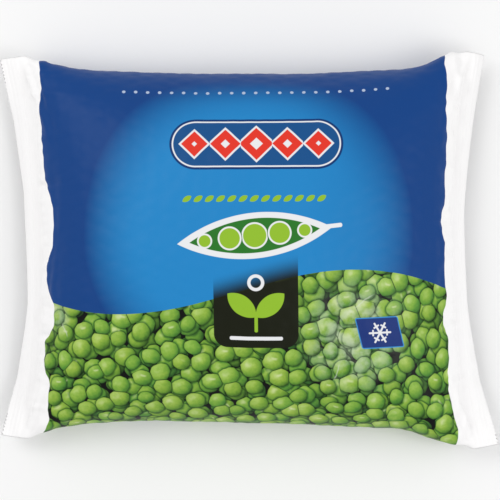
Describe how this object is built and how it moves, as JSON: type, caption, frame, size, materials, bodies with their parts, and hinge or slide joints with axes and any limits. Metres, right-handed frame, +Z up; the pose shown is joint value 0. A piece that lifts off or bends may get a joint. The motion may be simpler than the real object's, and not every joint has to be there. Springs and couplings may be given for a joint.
{
  "type": "frozen vegetable bag",
  "caption": "Shut pillow bag of frozen peas in printed film, welded flat at both ends, lying with its printed side up.",
  "frame": {"origin": "centre of the bounding box in plan, on the surface the bag rests on", "axes": "+X along the bag from the left end seal to the right one, +Y across it towards the top of the print, +Z up out of the printed side"},
  "size_m": [0.2768, 0.2176, 0.0601],
  "materials": {
    "printed_film": "semi-gloss white polyethylene film printed dark blue, light blue and pea green, bare white at the ends"
  },
  "bodies": {
    "root": {"bag": "printed_film"}
  },
  "joints": []
}
